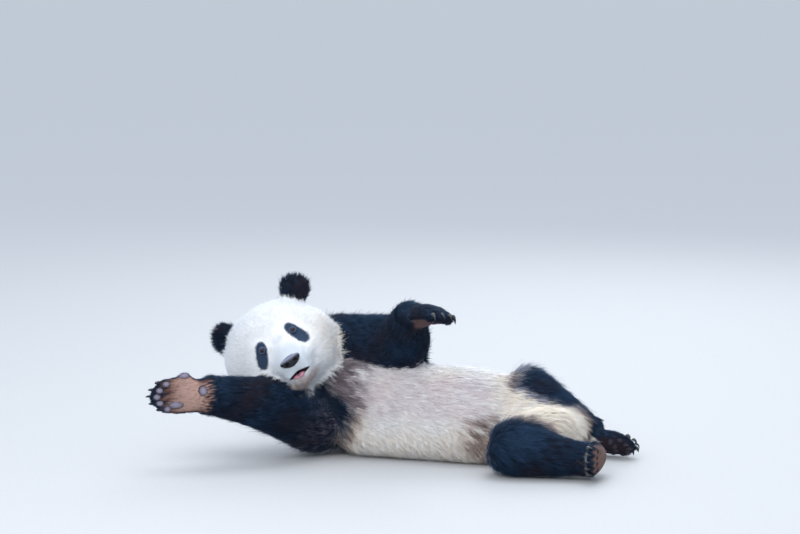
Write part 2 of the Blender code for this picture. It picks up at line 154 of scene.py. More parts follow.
NECK = meeting("neck", "chest")
WAIST = meeting("chest", "belly")
HIPS = meeting("belly", "rump")
SHOULDER = {s: meeting(f"upper_arm_{s}", "chest") for s in SIDES}
ELBOW = {s: meeting(f"upper_arm_{s}", f"forearm_{s}") for s in SIDES}
WRIST = {s: meeting(f"forearm_{s}", f"forepaw_{s}") for s in SIDES}
ANKLE = {s: meeting(f"shank_{s}", f"hindpaw_{s}") for s in SIDES}
EYE = {s: centre_of(f"eye_{s}") for s in SIDES}
EYE_RADIUS = float((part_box("eye_left")[1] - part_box("eye_left")[0]).x) / 2
NOSE = centre_of("nose")
HEAD_CENTRE_RISE = 0.031  # the eyes above the head's centre
HEAD_CENTRE_BACK = 0.087  # and in front of it
NOSE_SLOPE = math.radians(43.9)  # of the line from between the eyes to the nose, below straight ahead


def head_frame():
    """The head's centre, and rows: towards its left, its crown and its face."""
    left = unit(EYE["left"] - EYE["right"])
    between = (EYE["left"] + EYE["right"]) / 2
    slope = unit(NOSE - between)
    slope = unit(slope - left * (slope @ left))
    normal = np.cross(left, slope)
    face = slope * math.cos(NOSE_SLOPE) - normal * math.sin(NOSE_SLOPE)
    crown = np.cross(face, left)
    centre = between - crown * HEAD_CENTRE_RISE - face * HEAD_CENTRE_BACK
    return centre, np.array((left, crown, face))


HEAD_CENTRE, HEAD = head_frame()


def in_head(points):
    """Points as (left, crown, face) from the head's centre."""
    return (points - HEAD_CENTRE) @ HEAD.T


def from_head(places):
    return HEAD_CENTRE + places @ HEAD


EYE_IN_HEAD = in_head(EYE["left"])
NOSE_IN_HEAD = in_head(NOSE)
MOUTH_CUT = in_head(centre_of("tongue")) + np.array((0.0, 0.004, 0.016))
MOUTH_DROP = 0.0045  # how far the jaw hangs below where the model has it
MOUTH_IN_HEAD = MOUTH_CUT - np.array((0.0, MOUTH_DROP, 0.0))
MOUTH_HALF = np.array((0.034, 0.0085, 0.034))  # of the gape between the lips
MOUTH_CORNERS = 0.55  # how much of its height it loses at the corners
NOSE_HALF = np.array((0.0315, 0.0165, 0.017))  # of the bare nose pad
NOSE_PARTING = 0.0013  # the depth of the line between the nostrils
GAZE = {s: unit(np.array((0.3 * SIDES[s], 0.08, 1.0))) @ HEAD for s in SIDES}
LID_TILT = math.radians(14)  # each eye's outer corner is the lower one
LID_HALF = (0.0088, 0.0062)  # of the opening between the lids, over the ball
FOLD_DEPTH = 0.0028  # of the skin between the eyes
PAD_RISE = 0.0045  # of the pads above the palms and soles


def mouth_reach(q, middle=MOUTH_IN_HEAD, corners=MOUTH_CORNERS):
    """How far points in the head's frame lie from the middle of the mouth: 1 on its inner walls."""
    place = (q - middle) / MOUTH_HALF
    place[:, 1] /= 1.0 - corners * held(np.abs(place[:, 0]))
    return np.linalg.norm(place, axis=1)


def near_eye(points, side):
    return distance(points, EYE[side]) < 2 * EYE_RADIUS


def lid_reach(points, side):
    """How far points lie round an eyeball from the middle of its gaze: 1 on the edge of the lids."""
    ray = unit(points - EYE[side])
    tilt = LID_TILT * SIDES[side]
    across = unit(np.cross(HEAD[1], GAZE[side]))
    up = np.cross(GAZE[side], across)
    x = ray @ (across * math.cos(tilt) - up * math.sin(tilt))
    y = ray @ (up * math.cos(tilt) + across * math.sin(tilt))
    off = np.hypot(x, y)
    arc = EYE_RADIUS * np.arctan2(off, ray @ GAZE[side]) / np.maximum(off, 1e-6)
    x, y = np.abs(x * arc) / LID_HALF[0], np.abs(y * arc) / LID_HALF[1]
    # the corners are drawn out to points
    return np.hypot(x, y / (1.0 - 0.35 * held(x)))


def far_end(node, start, share=0.15):
    """The middle of the points of a node that lie farthest from a place."""
    points = points_of(node)
    away = distance(points, start)
    return points[away >= np.quantile(away, 1 - share)].mean(axis=0)


SPINE = unit(HIPS - NECK)
KNEE_END = {s: far_end(f"shank_{s}", ANKLE[s]) for s in SIDES}


def claws_of(kind, side):
    return [f"claw_{kind}_{side}_{digit}" for digit in range(1, 6)]


def paw_frame(kind, side):
    """A paw's root, and rows: to its inner digit, out of its sole, along its digits. Then its length."""
    root = WRIST[side] if kind == "fore" else ANKLE[side]
    claws = [centre_of(claw) for claw in claws_of(kind, side)]
    ahead = unit(claws[2] - root)
    inner = claws[0] - claws[4]
    inner = unit(inner - ahead * (inner @ ahead))
    sole = np.cross(inner, ahead) * -SIDES[side]
    return root, np.array((inner, sole, ahead)), float(np.linalg.norm(claws[2] - root))


PAWS = {(kind, side): paw_frame(kind, side) for kind in ("fore", "hind") for side in SIDES}


def in_paw(points, paw):
    """Points as (inner, sole, ahead) shares of the paw's length."""
    root, axes, length = PAWS[paw]
    return (points - root) @ axes.T / length


# Bare pads as (inner, ahead, half width, half length) shares of a paw's length: the palm's three by
# place, and the half sizes of those under each digit and across the ball of the hind paw.
PALM_PADS = [(0.33, 0.44, 0.05, 0.105), (0.098, 0.165, 0.07, 0.062), (-0.125, 0.56, 0.055, 0.11)]
DIGIT_PAD = (0.044, 0.056)
BALL_PAD = (0.058, 0.045)


def pads_of(paw):
    """The bare pads of a paw, as the rows above."""
    tips = [in_paw(centre_of(claw), paw) for claw in claws_of(*paw)]
    pads = [(tip[0] * 0.94, tip[2] - 0.15, *DIGIT_PAD) for tip in tips]
    if paw[0] == "fore":
        return pads + PALM_PADS
    between = zip(tips, tips[1:])
    return pads + [((a[0] + b[0]) * 0.48, (a[2] + b[2]) / 2 - 0.36, *BALL_PAD) for a, b in between]


def pad_share(points, normals, owners, dome=False):
    """1 on the bare pads of the paws, 0 off them. A dome is 1 only in their middles."""
    rim, top = (1.15, 0.1) if dome else (1.2, 0.8)
    share = np.zeros(len(points))
    for paw in PAWS:
        place = in_paw(points, paw)
        palm = palm_share(normals, owners, paw)
        for inner, ahead, wide, long in pads_of(paw):
            reach = np.hypot((place[:, 0] - inner) / wide, (place[:, 2] - ahead) / long)
            share = np.maximum(share, ramp(rim, top, reach) * palm)
    return share


def palm_share(normals, owners, paw, low=0.15, high=0.5):
    """1 on the palm or sole of a paw, 0 elsewhere."""
    kind, side = paw
    facing = ramp(low, high, normals @ PAWS[paw][1][1])
    if paw == ("fore", "left"):
        # this palm lies face down, and the fur of its outer edge hangs over it
        facing *= ramp(-0.7, -0.9, normals[:, 2])
    return owned_by(owners, f"{kind}paw_{side}") * facing


# -------- meshes


def new_object(name, data):
    piece = bpy.data.objects.new(name, data)
    bpy.context.scene.collection.objects.link(piece)
    return piece


def mesh_from(bm, name):
    mesh = bpy.data.meshes.new(name)
    bm.to_mesh(mesh)
    bm.free()
    return mesh


def triangle_mesh(name, points, triangles):
    mesh = bpy.data.meshes.new(name)
    mesh.vertices.add(len(points))
    mesh.vertices.foreach_set("co", points.astype(np.float32).ravel())
    mesh.loops.add(triangles.size)
    mesh.loops.foreach_set("vertex_index", triangles.astype(np.int32).ravel())
    mesh.polygons.add(len(triangles))
    mesh.polygons.foreach_set("loop_start", np.arange(0, triangles.size, 3, dtype=np.int32))
    mesh.update(calc_edges=True)
    mesh.shade_smooth()
    return mesh


def wear_colours(mesh, colours):
    """Writes a linear colour on each vertex, as the attribute that the materials read."""
    layer = mesh.color_attributes.new("markings_and_painted_light", "FLOAT_COLOR", "POINT")
    rgba = np.ones((len(colours), 4), np.float32)
    rgba[:, :3] = colours
    layer.data.foreach_set("color", rgba.ravel())


def mesh_arrays(mesh):
    """Vertices, vertex normals and triangles."""
    mesh.calc_loop_triangles()
    triangles = read(mesh.loop_triangles, "vertices", 3, np.int32)
    return read(mesh.vertices, "co", 3), read(mesh.vertex_normals, "vector", 3), triangles


def edges_of(mesh):
    return read(mesh.edges, "vertices", 2, np.int32)


def spread(values, edges, rounds, share=1.0):
    """Averages values with their neighbours' along the edges, over and over."""
    values = np.array(values, float)
    a, b = edges.T
    count = len(values)
    degree = np.maximum(np.bincount(a, minlength=count) + np.bincount(b, minlength=count), 1)
    for _ in range(rounds):
        for column in values.reshape(count, -1).T:
            total = np.bincount(a, column[b], count) + np.bincount(b, column[a], count)
            column += (total / degree - column) * share
    return values


def move_to(mesh, points):
    """Moves the mesh's vertices to these points."""
    mesh.vertices.foreach_set("co", points.astype(np.float32).ravel())
    mesh.update()


def finer(mesh, chosen):
    """Divides the faces whose vertices are all chosen."""
    bm = bmesh.new()
    bm.from_mesh(mesh)
    bm.verts.ensure_lookup_table()
    faces = [f for f in bm.faces if all(chosen[v.index] for v in f.verts)]
    edges = list({e for f in faces for e in f.edges})
    bmesh.ops.subdivide_edges(bm, edges=edges, cuts=1, use_grid_fill=True, smooth=0.6)
    bmesh.ops.triangulate(bm, faces=[f for f in bm.faces if len(f.verts) > 4])
    bm.to_mesh(mesh)
    bm.free()


# -------- skin


def flesh_tree():
    """One search tree over all nodes of flesh, and the node that each of its faces belongs to."""
    points, faces, owner = [], [], []
    for number, node in enumerate(FLESH):
        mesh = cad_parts[node].data
        start = len(points)
        points += [v.co[:] for v in mesh.vertices]
        faces += [[start + i for i in p.vertices] for p in mesh.polygons]
        owner += [number] * len(mesh.polygons)
    return BVHTree.FromPolygons(points, faces), np.array(owner)


TREE, TREE_OWNERS = flesh_tree()


def nearest_nodes(points):
    """The number in FLESH of the node that each point lies nearest to."""
    return TREE_OWNERS[[TREE.find_nearest(p)[2] for p in points]]


def owned_by(owners, *starts):
    """Where the name of a point's node starts with one of these."""
    numbers = [i for i, node in enumerate(FLESH) if node.startswith(starts)]
    return np.isin(owners, numbers)


def fused_flesh():
    """The nodes of flesh as one closed mesh, with the beds of the nose and the eyes filled in."""
    whole = bmesh.new()
    for node in FLESH + ("nose", "eye_left", "eye_right"):
        part = bmesh.new()
        part.from_mesh(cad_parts[node].data)
        bmesh.ops.remove_doubles(part, verts=part.verts, dist=1e-6)
        part.normal_update()
        for vert in part.verts:
            vert.co += vert.normal * SEAM_OVERLAP
        mesh = mesh_from(part, "part")
        whole.from_mesh(mesh)
        bpy.data.meshes.remove(mesh)
    mesh = mesh_from(whole, "skin")
    skin = new_object("skin", mesh)
    fuse = skin.modifiers.new("fuse", "REMESH")
    fuse.mode = "VOXEL"
    fuse.voxel_size = VOXEL
    graph = bpy.context.evaluated_depsgraph_get()
    fused = bpy.data.meshes.new_from_object(skin.evaluated_get(graph))
    skin.modifiers.clear()
    skin.data = fused
    bpy.data.meshes.remove(mesh)
    return skin


# Coat by node: a tuft's length, width, lift off the skin in degrees, and how thickly tufts stand.
COAT = {
    "head": (0.0200, 0.0011, 16, 1.9),
    "lower_jaw": (0.0180, 0.0011, 20, 1.9),
    "ear": (0.0220, 0.0011, 30, 1.9),
    "neck": (0.0280, 0.0014, 20, 1.0),
    "chest": (0.0400, 0.0014, 20, 1.0),
    "belly": (0.0340, 0.0013, 16, 1.1),
    "rump": (0.0360, 0.0014, 19, 1.0),
    "tail": (0.0380, 0.0015, 24, 1.2),
    "upper_arm": (0.0380, 0.0014, 20, 1.0),
    "forearm": (0.0280, 0.0013, 18, 1.0),
    "forepaw": (0.0140, 0.0011, 16, 1.4),
    "thigh": (0.0400, 0.0014, 20, 1.0),
    "shank": (0.0300, 0.0013, 19, 1.0),
    "hindpaw": (0.0150, 0.0011, 16, 1.4),
}
DEPTH_SHARE = 0.8  # of the height that a straight tuft of full length would stand to
PALM_HAIR, PALM_HAIR_WIDTH = 0.006, 0.0008
LIP_HAIR = 0.003
PATCH_HAIR = 0.0055


def coat_of(node):
    return COAT[max((key for key in COAT if node.startswith(key)), key=len)]


def ruff(q):
    """1 where the cheeks' and chin's long fur stands out, in the head's frame, 0 elsewhere."""
    cheek = ramp(0.09, 0.14, np.abs(q[:, 0])) * ramp(0.03, -0.05, q[:, 1])
    chin = ramp(-0.08, -0.13, q[:, 1]) * ramp(0.14, 0.09, q[:, 2])
    return np.maximum(cheek, chin)


def coat_fields(points, normals, owners):
    """Length, width, lift in radians and density at each point of the skin."""
    table = np.array([coat_of(node) for node in FLESH])
    length, width, lift, density = table[owners].T
    x, y, height = points.T
    q = in_head(points)
    on_head = owned_by(owners, "head", "lower_jaw")
    face = ramp(0.035, 0.185, distance(q, NOSE_IN_HEAD))
    stands = ruff(q)
    hair = mix(0.0046, 0.018, face) + 0.021 * stands
    hair = mix(hair, PATCH_HAIR, eye_patches(q, 0.012))
    hair = mix(hair, LIP_HAIR, ramp(1.8, 1.15, mouth_reach(q)))
    thick = mix(5.5, 1.6, face) * (1 + 0.9 * eye_patches(q) + 1.1 * stands)
    length = np.where(on_head, hair, length)
    width = np.where(on_head, mix(0.0006, 0.0011, face) - 0.0003 * stands, width)
    lift = np.where(on_head, lift + 15 * stands, lift)
    density = np.where(on_head, thick, density)
    # the belly's hair is thin and flat above the woolly flank
    thin = owned_by(owners, "belly", "chest") * ramp(0.08, 0.15, height) * ramp(0.09, 0.02, y)
    width -= 0.0004 * thin
    lift -= 6 * thin
    density *= 1 + 0.5 * thin
    # the hair along the raised hip stands up
    hip = owned_by(owners, "belly", "rump", "thigh_left", "shank_left") * ramp(0.16, 0.23, height)
    hip *= ramp(KNEE_END["left"][0] - 0.2, KNEE_END["left"][0] - 0.05, x)
    length += 0.008 * hip
    lift += 9 * hip
    for paw in PAWS:
        palm = palm_share(normals, owners, paw)
        length = mix(length, PALM_HAIR, palm)
        width = mix(width, PALM_HAIR_WIDTH, palm)
        density = mix(density, 2.4, palm)
    return np.stack((length, width, np.radians(lift), density), axis=1)


def bare_share(points, normals, owners):
    """1 where no tuft grows: on pads, lips and lids, in the mouth and under the nose."""
    q = in_head(points)
    bare = ramp(1.22, 1.06, mouth_reach(q))
    under_nose = ramp(1.25, 1.0, distance(q / NOSE_HALF, NOSE_IN_HEAD / NOSE_HALF))
    bare = np.maximum(bare, under_nose)
    for side in SIDES:
        bare = np.maximum(bare, near_eye(points, side) * ramp(1.5, 1.25, lid_reach(points, side)))
    return np.maximum(bare, pad_share(points, normals, owners))


def lie_of_coat(points, normals, owners):
    """The way the fur lies at each point of the skin, before it is blended over the joints."""
    down = np.array((0.0, 0.0, -1.0))
    # the flank's wool hangs more than the thin hair of the belly
    hang = 0.12 + 0.9 * ramp(0.13, 0.04, points[:, 2])
    flow = SPINE + down * hang[:, None]
    flow[owned_by(owners, "tail")] = unit(centre_of("tail") - HIPS)
    flow[owned_by(owners, "neck")] = SPINE + down * 0.3
    on_head = owned_by(owners, "head", "lower_jaw")
    flow[on_head] = (points - NOSE)[on_head]
    for side in SIDES:
        ear = owned_by(owners, f"ear_{side}")
        root = centre_of(f"ear_{side}") * 0.75 + HEAD_CENTRE * 0.25
        flow[ear] = unit(points[ear] - root)
        stations = (
            ("upper_arm", SHOULDER[side], ELBOW[side]),
            ("forearm", ELBOW[side], WRIST[side]),
            ("forepaw", WRIST[side], centre_of(claws_of("fore", side)[2])),
            ("shank", KNEE_END[side], ANKLE[side]),
            ("hindpaw", ANKLE[side], centre_of(claws_of("hind", side)[2])),
        )
        for part, start, end in stations:
            flow[owned_by(owners, f"{part}_{side}")] = unit(end - start) + down * 0.25
        # the thigh's fur runs back towards the foot, as the belly's does
        flow[owned_by(owners, f"thigh_{side}")] = unit(ANKLE[side] - KNEE_END[side]) + SPINE + down * 0.15
    return tangent(flow, normals)


# -------- markings


def rgb(*parts):
    """A linear colour."""
    return np.array(parts)


# The coat and the bare skin.
WHITE = rgb(0.92, 0.915, 0.915)
HEAD_WHITE = rgb(0.87, 0.875, 0.88)
# painted shade: cool grey for the fold between the eyes and for the muzzle round the nose
FOLD_SHADE = rgb(0.42, 0.46, 0.53)
MUZZLE_SHADE = rgb(0.56, 0.6, 0.645)
CREAM = rgb(0.86, 0.71, 0.54)
TAN = rgb(0.46, 0.34, 0.28)
LILAC = rgb(0.62, 0.515, 0.54)
# painted light: the pale blue of the sky on dark fur that faces up
PAINTED_SKYLIGHT = rgb(0.3, 0.34, 0.43)
MAUVE = rgb(0.26, 0.205, 0.235)
BLACK = rgb(0.0028, 0.0075, 0.017)
# painted sheen: the blue light that the black fur shows, most where it faces the sky
PAINTED_SHEEN = rgb(0.018, 0.04, 0.08)
BROWN = rgb(0.05, 0.03, 0.034)
SLATE = rgb(0.03, 0.05, 0.09)
RUST = rgb(0.12, 0.056, 0.042)
# the fore pads' pale tone, partly a painted highlight
PAD_WITH_HIGHLIGHT = rgb(0.25, 0.225, 0.29)
DARK_PAD = rgb(0.05, 0.042, 0.055)
LIP = rgb(0.03, 0.018, 0.022)
# a painted reflection: the pale glint round the wet lids
LID_GLINT = rgb(0.13, 0.16, 0.25)
# the right palm and sole keep their own tones; the left ones are painted darker, as the shade they lie in
PALM_TONES_AND_SHADE = {"left": rgb(0.13, 0.075, 0.065), "right": rgb(0.42, 0.27, 0.225)}
SOLE_TONES_AND_SHADE = {"left": rgb(0.03, 0.018, 0.026), "right": rgb(0.2, 0.108, 0.078)}

# Each eye patch slopes out and down: its tilt, its middle from the eye, outwards and up, and its half
# sizes across and along.
PATCHES = {
    "left": (math.radians(24), (0.006, -0.013), (0.0155, 0.039)),
    "right": (math.radians(28), (0.0115, -0.013), (0.0165, 0.039)),
}


def eye_patches(q, soft=0.0):
    """How far each point in the head's frame lies inside an eye patch: 1 in it, 0 out of it."""
    inside = np.zeros(len(q))
    for side, sign in SIDES.items():
        tilt, place, half = PATCHES[side]
        x = q[:, 0] * sign - EYE_IN_HEAD[0] - place[0]
        y = q[:, 1] - EYE_IN_HEAD[1] - place[1]
        along = y * math.cos(tilt) - x * math.sin(tilt)
        across = x * math.cos(tilt) + y * math.sin(tilt)
        reach = (np.abs(across) / (half[0] + soft)) ** 2.4 + (np.abs(along) / (half[1] + soft)) ** 3.0
        here = (q[:, 2] > 0.02) & (q[:, 0] * sign > 0)
        inside = np.maximum(inside, ramp(1.25, 0.8, reach) * here)
    return inside


def streaks(points, size, seed, run):
    """A random field drawn out along a direction, as strands of fur are."""
    return waves(points - 0.8 * (points @ run)[:, None] * run, size, seed)


def saddle(points, front, rough):
    """How far points of the trunk lie behind the black of the shoulders, and the width of its fringe."""
    height = points[:, 2]
    # low on the chest it reaches back to the flank, and at the throat it ends near the neck
    edge = -0.08 + 0.045 * ramp(0.0, 0.1, height) - 0.07 * ramp(0.14, 0.22, height)
    fringe = 0.034 + 0.1 * ramp(0.13, 0.21, height)
    past = (points - WAIST) @ SPINE - mix(-0.01, edge, front) + 0.014 * rough
    return past, mix(0.03, fringe, front)


def blackness(points, owners, rough):
    """How black each point of the coat is, and how brown in the fringe of the black: 0 to 1."""
    black = owned_by(owners, "ear", "upper_arm", "forearm", "forepaw", "hindpaw").astype(float)
    trunk = owned_by(owners, "chest", "belly", "neck", "rump")
    front = ramp(0.18, 0.12, points[:, 1])
    past, fringe = saddle(points, front, rough)
    behind = (points - NECK) @ SPINE + 0.02 * rough
    collar = trunk * ramp(-0.065 - 0.025 * front, -0.025 - 0.025 * front, behind)
    black = np.maximum(black, collar * ramp(0.012, -0.018, past))
    brown = collar * ramp(fringe, 0.0, past)

    # the left leg's black keeps to its outer side, and the groin's fur hangs over the shank
    own = trunk | owned_by(owners, "thigh_left", "shank_left")
    way, share = from_segment(points, KNEE_END["left"], ANKLE["left"])
    hung = ramp(0.45, 0.75, share) * ramp(1.02, 0.92, share) * ramp(-0.01, 0.03, -way[:, 1])
    past = np.linalg.norm(way, axis=1) - (0.112 - 0.064 * hung) + 0.008 * rough
    black = np.maximum(black, own * ramp(0.006, -0.012, past) * ramp(-0.04, 0.08, share + 0.04 * rough))
    brown = np.maximum(brown, own * ramp(0.022, 0.0, past) * ramp(-0.12, 0.0, share))

    # the right leg's black covers the knee, and fades to brown on the belly beside it
    own = trunk | owned_by(owners, "thigh_right", "shank_right")
    way, share = from_segment(points, KNEE_END["right"], ANKLE["right"])
    away = np.linalg.norm(way, axis=1)
    past = away - (0.09 - 0.025 * ramp(0.38, 0.68, share)) + 0.008 * rough
    black = np.maximum(black, own * ramp(0.006, -0.012, past) * ramp(-0.17, -0.07, share + 0.04 * rough))
    brown = np.maximum(brown, own * ramp(0.026, 0.0, past))
    beside = owned_by(owners, "belly") * ramp(0.215, 0.14, away) * ramp(0.02, -0.1, share)
    brown = np.maximum(brown, 0.8 * beside)
    return black, held(brown - black)


def head_white(q, rough):
    """The head's white: painted cool grey shade on the muzzle round the nose and in the fold between the
    eyes, warmer on the cheek and the chin.
    """
    white = tinted(HEAD_WHITE, CREAM, held(0.02 + 0.04 * rough))
    # painted shade on the muzzle round the nose
    white = tinted(white, MUZZLE_SHADE, ramp(0.09, 0.04, distance(q, NOSE_IN_HEAD)))
    # painted shade in the fold between the eyes
    level = np.abs(q[:, 1] - EYE_IN_HEAD[1])
    inner = np.abs(q[:, 0]) + 0.6 * level
    white = tinted(white, FOLD_SHADE, 0.45 * ramp(0.026, 0.008, inner) * ramp(0.011, 0.002, level))
    cheek = ramp(0.06, 0.12, q[:, 0]) * ramp(0.06, -0.02, q[:, 1])
    chin = ramp(-0.076, -0.104, q[:, 1]) * ramp(0.05, 0.085, q[:, 2])
    white = tinted(white, CREAM, cheek * held(0.38 + 0.2 * rough))
    return tinted(white, TAN, chin * held(0.8 + 0.4 * rough))


def with_paws(colour, points, normals, owners, rough):
    """The coat's colours with the palms, the soles and their pads: the left palm and sole darkened as
    painted shade, and the fore pads pale, partly a painted highlight.
    """
    for paw in PAWS:
        kind, side = paw
        hairs = streaks(points, 0.007, 17, PAWS[paw][1][2])
        ahead = in_paw(points, paw)[:, 2] + 0.02 * rough + 0.06 * hairs
        palm = palm_share(normals, owners, paw)
        if kind == "fore":
            palm *= ramp(-0.02, 0.12, ahead)
            middle = palm_share(normals, owners, paw, 0.4, 0.85)
            middle = middle * ramp(0.02, 0.22, ahead) * ramp(0.72, 0.44, ahead)
            colour = tinted(colour, RUST, palm * ramp(0.82, 0.62, ahead) * 0.85)
            # the left palm's darker tone is painted shade
            colour = tinted(colour, PALM_TONES_AND_SHADE[side], middle * held(0.86 + 0.14 * hairs))
        else:
            # the sole darkens at its rim
            middle = mix(0.55, 1.0, palm_share(normals, owners, paw, 0.55, 0.95))
            # the left sole's darker tone is painted shade
            colour = tinted(colour, SOLE_TONES_AND_SHADE[side], palm * middle * held(0.84 + 0.22 * hairs))
    pads = pad_share(points, normals, owners)
    domes = pad_share(points, normals, owners, dome=True)
    bare = ramp(0.4, 0.95, pads)
    colour = tinted(colour, BLACK, 0.85 * ramp(0.0, 0.45, pads))
    # the fore pads are painted pale, brightest in their middles, as a highlight on them
    colour = tinted(colour, PAD_WITH_HIGHLIGHT, bare * mix(0.45, 1.0, domes) * owned_by(owners, "forepaw"))
    return tinted(colour, DARK_PAD, bare * owned_by(owners, "hindpaw"))


def markings_and_painted_light(points, normals, owners):
    """The coat's colour at each point of the skin, with painted sheen, skylight, shade and glints."""
    rough = waves(points, 0.02, 11) * 0.5 + waves(points, 0.008, 12) * 0.5
    broad = waves(points, 0.16, 13)
    strands = streaks(points, 0.009, 14, SPINE)
    wool = streaks(points, 0.016, 15, np.array((0.25, 0.0, -0.97)))
    x, y, height = points.T
    q = in_head(points)
    on_head = owned_by(owners, "head", "lower_jaw")

    colour = tinted(WHITE, CREAM, held(0.2 + 0.12 * broad + 0.08 * rough))
    # the belly is lilac where its hair is thin, and the flank below it is woolly and yellower
    trunk = owned_by(owners, "belly", "rump", "chest", "neck")
    thin = trunk * ramp(0.1, 0.16, height) * ramp(0.1, 0.02, y) * ramp(HIPS[0], HIPS[0] - 0.12, x)
    colour = tinted(colour, LILAC, thin * held(0.56 + 0.36 * strands))
    low = trunk * ramp(0.15, 0.05, height)
    colour = tinted(colour, CREAM, low * held(0.38 + 0.25 * rough))
    colour = tinted(colour, TAN, low * held(0.24 * wool))
    groin = ramp(HIPS[0] - 0.1, HIPS[0] + 0.02, x) * ramp(0.16, 0.1, y) * ~on_head
    groin *= np.where(owned_by(owners, "thigh_right"), 0.95, 0.78)
    colour = tinted(colour, CREAM, groin * held(0.8 + 0.34 * strands))
    colour = tinted(colour, head_white(q, rough), on_head.astype(float))

    # the black's fringe is streaked and browner low down, and where it faces up on the raised leg it is
    # painted pale blue, as skylight
    black, brown = blackness(points, owners, rough)
    brown = held(brown + 1.6 * brown * (1 - brown) * streaks(points, 0.012, 16, SPINE)) * ~on_head
    fringe = mix(TAN, MAUVE, ramp(0.11, 0.17, height)[:, None])
    colour = tinted(colour, fringe, ramp(0.0, 0.6, brown) * 0.8)
    colour = tinted(colour, BROWN, ramp(0.45, 1.0, brown) * 0.8)
    lit_from_above = ramp(-0.1, 0.9, normals[:, 2])
    skylit_raised_leg = lit_from_above * owned_by(owners, "thigh_left", "shank_left", "rump") * ramp(0.11, 0.19, height)
    colour = tinted(colour, PAINTED_SKYLIGHT, 0.7 * skylit_raised_leg * ramp(0.0, 0.4, brown))
    # a blue sheen is painted on the black: where it faces up, on the raised leg, in random streaks, and most
    # on the left arm and the right leg's end
    most_sheen_parts = owned_by(owners, "upper_arm_left", "forearm_left", "shank_right", "hindpaw_right")
    painted_sheen_share = 0.02 + 0.22 * lit_from_above + 0.4 * skylit_raised_leg + 0.24 * most_sheen_parts + 0.26 * broad + 0.4 * strands
    dark = tinted(BLACK, BROWN, held(0.06 - 0.16 * broad + 0.16 * rough))
    colour = tinted(colour, tinted(dark, PAINTED_SHEEN, held(painted_sheen_share)), black)
    for side in SIDES:
        shoulder = ramp(0.15, 0.06, distance(points, SHOULDER[side]))
        shoulder *= owned_by(owners, f"upper_arm_{side}")
        colour = tinted(colour, MAUVE, shoulder * held(0.02 + 0.36 * strands))
    colour = tinted(colour, SLATE, eye_patches(q + 0.0008 * rough[:, None]) * on_head)
    colour = with_paws(colour, points, normals, owners, rough)
    # lips, the inside of the mouth and the dark rims of the eyes, ringed by a pale painted reflection on the
    # wet lids
    colour = tinted(colour, LIP, ramp(1.17, 1.03, mouth_reach(q)) * on_head)
    for side in SIDES:
        near = near_eye(points, side)
        reach = lid_reach(points, side)
        # the pale ring round the lids is a painted reflection
        colour = tinted(colour, LID_GLINT, near * ramp(1.55, 1.25, reach))
        colour = tinted(colour, LIP, near * ramp(1.15, 0.95, reach))
    return held(colour)


# -------- materials


def set_inputs(node, values):
    for name, value in values.items():
        node.inputs[name].default_value = value


def join(source, output, target, name):
    """Links a node's output to another's input."""
    source.id_data.links.new(source.outputs[output], target.inputs[name])


def noise_bump(tree, shader, scale, strength, depth):
    """Bumps a shader's surface with a noise, and returns the noise."""
    place = tree.nodes.new("ShaderNodeTexCoord")
    noise = tree.nodes.new("ShaderNodeTexNoise")
    set_inputs(noise, {"Scale": scale, "Detail": 4.0})
    bump = tree.nodes.new("ShaderNodeBump")
    set_inputs(bump, {"Strength": strength, "Distance": depth})
    join(place, "Object", noise, "Vector")
    join(noise, "Fac", bump, "Height")
    join(bump, "Normal", shader, "Normal")
    return noise


def marked_material(name, roughness, specular, grain, sheen=0.0, coat=0.0, mottle=0.12):
    """A material of the colours that a piece wears. Its grain is a noise: scale, strength and depth."""
    material = bpy.data.materials.new(name)
    material.use_nodes = True
    tree = material.node_tree
    shader = tree.nodes["Principled BSDF"]
    set_inputs(shader, {
        "Roughness": roughness,
        "Specular IOR Level": specular,
        "Sheen Weight": sheen,
        "Sheen Roughness": 0.45,
        "Sheen Tint": (0.3, 0.58, 1.0, 1.0),
        "Coat Weight": coat,
        "Coat Roughness": 0.05,
    })
    noise = noise_bump(tree, shader, *grain)
    marks = tree.nodes.new("ShaderNodeVertexColor")
    marks.layer_name = "markings_and_painted_light"
    shade = tree.nodes.new("ShaderNodeMapRange")
    set_inputs(shade, {"To Min": 1.0 - mottle, "To Max": 1.0 + mottle})
    scaled = tree.nodes.new("ShaderNodeVectorMath")
    scaled.operation = "SCALE"
    join(noise, "Fac", shade, "Value")
    join(marks, "Color", scaled, 0)
    join(shade, "Result", scaled, "Scale")
    join(scaled, "Vector", shader, "Base Color")
    return material


# -------- skin assembly

# The skin is divided three times, nearer the eyes each time.
FINE_ROUND_EYES = (0.036, 0.022, 0.016)
FINE_ROUND_NOSE = 0.085  # the first time
FINE_ROUND_MOUTH = 1.9  # the second time, as a share of the gape
SMOOTH_ROUND_NOSE = 0.12


def refine(mesh):
    """Divides the skin on the face and the palms, then round the mouth, and most round the eyes."""
    for division, reach in enumerate(FINE_ROUND_EYES):
        points, normals, _ = mesh_arrays(mesh)
        q = in_head(points)
        chosen = np.min([distance(points, EYE[s]) for s in SIDES], axis=0) < reach
        if division == 0:
            owners = nearest_nodes(points)
            palms = np.max([palm_share(normals, owners, paw) for paw in PAWS], axis=0) > 0.3
            chosen |= (distance(q, NOSE_IN_HEAD) < FINE_ROUND_NOSE) | palms
        elif division == 1:
            chosen |= mouth_reach(q, MOUTH_CUT, 0.0) < FINE_ROUND_MOUTH
        finer(mesh, chosen)
        points = mesh_arrays(mesh)[0]
        on_face = distance(in_head(points), NOSE_IN_HEAD) < SMOOTH_ROUND_NOSE
        move_to(mesh, spread(points, edges_of(mesh), 2, 0.5 * on_face))


